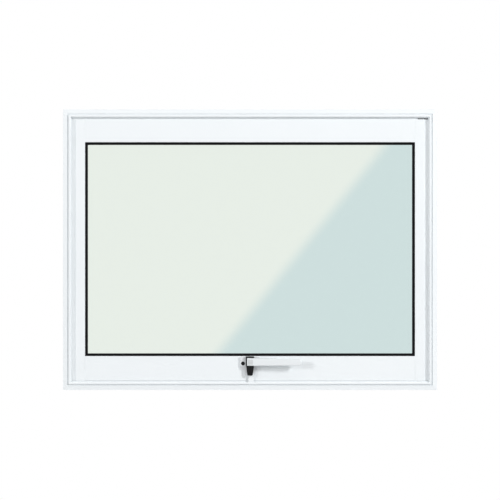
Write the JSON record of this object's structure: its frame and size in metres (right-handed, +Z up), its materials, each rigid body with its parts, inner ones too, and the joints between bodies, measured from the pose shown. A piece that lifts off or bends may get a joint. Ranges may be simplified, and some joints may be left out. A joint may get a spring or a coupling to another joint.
{
  "type": "top hung awning window",
  "caption": "Top hung awning window with a mitred white metal frame, a glazed sash on side friction stays and a cam handle on the bottom rail.",
  "frame": {"origin": "on the wall face of the bottom flange, half way along it", "axes": "+X to the right seen from the room, +Y from the room to the outdoors, +Z up"},
  "size_m": [0.8, 0.0639, 0.6],
  "materials": {
    "white_powder_coat": "satin white powder coat",
    "grey_powder_coat": "satin pale grey powder coat on the handle's base",
    "window_glass": "clear float glass with a faint green tint",
    "black_rubber": "matte black gasket rubber",
    "pale_seal_rubber": "matte pale grey seal rubber",
    "black_nylon": "satin black moulded nylon",
    "stay_steel": "brushed stainless steel"
  },
  "bodies": {
    "window": {"frame_head": "white_powder_coat", "frame_jamb_left": "white_powder_coat", "frame_jamb_right": "white_powder_coat", "frame_sill": "white_powder_coat", "glass_pane": "window_glass", "glazing_bead_bottom": "white_powder_coat", "glazing_bead_left": "white_powder_coat", "glazing_bead_right": "white_powder_coat", "glazing_bead_top": "white_powder_coat", "handle_base": "grey_powder_coat", "handle_screws": "black_nylon", "handle_spindle": "stay_steel", "handle_washer": "black_nylon", "inner_gasket_bottom": "black_rubber", "inner_gasket_left": "black_rubber", "inner_gasket_right": "black_rubber", "inner_gasket_top": "black_rubber", "latch_keeper": "white_powder_coat", "outer_gasket_bottom": "black_rubber", "outer_gasket_left": "black_rubber", "outer_gasket_right": "black_rubber", "outer_gasket_top": "black_rubber", "sash_bottom_rail": "white_powder_coat", "sash_stile_left": "white_powder_coat", "sash_stile_right": "white_powder_coat", "sash_top_rail": "white_powder_coat", "stay_arm_left": "stay_steel", "stay_arm_right": "stay_steel", "stay_link_left": "stay_steel", "stay_link_right": "stay_steel", "stay_sash_bar_left": "stay_steel", "stay_sash_bar_right": "stay_steel", "stay_slider_left": "black_nylon", "stay_slider_right": "black_nylon", "stay_track_left": "stay_steel", "stay_track_right": "stay_steel", "weather_seal_bottom": "pale_seal_rubber", "weather_seal_left": "pale_seal_rubber", "weather_seal_right": "pale_seal_rubber", "weather_seal_top": "pale_seal_rubber"},
    "handle": {"handle_lever": "white_powder_coat", "handle_tongue": "black_nylon"}
  },
  "joints": [
    {"name": "handle_turn", "type": "hinge", "parent": "window", "child": "handle", "pos_m": [0, -0.014, 0.0568], "axis": [0, -1, 0], "range_deg": [0, 90]}
  ]
}
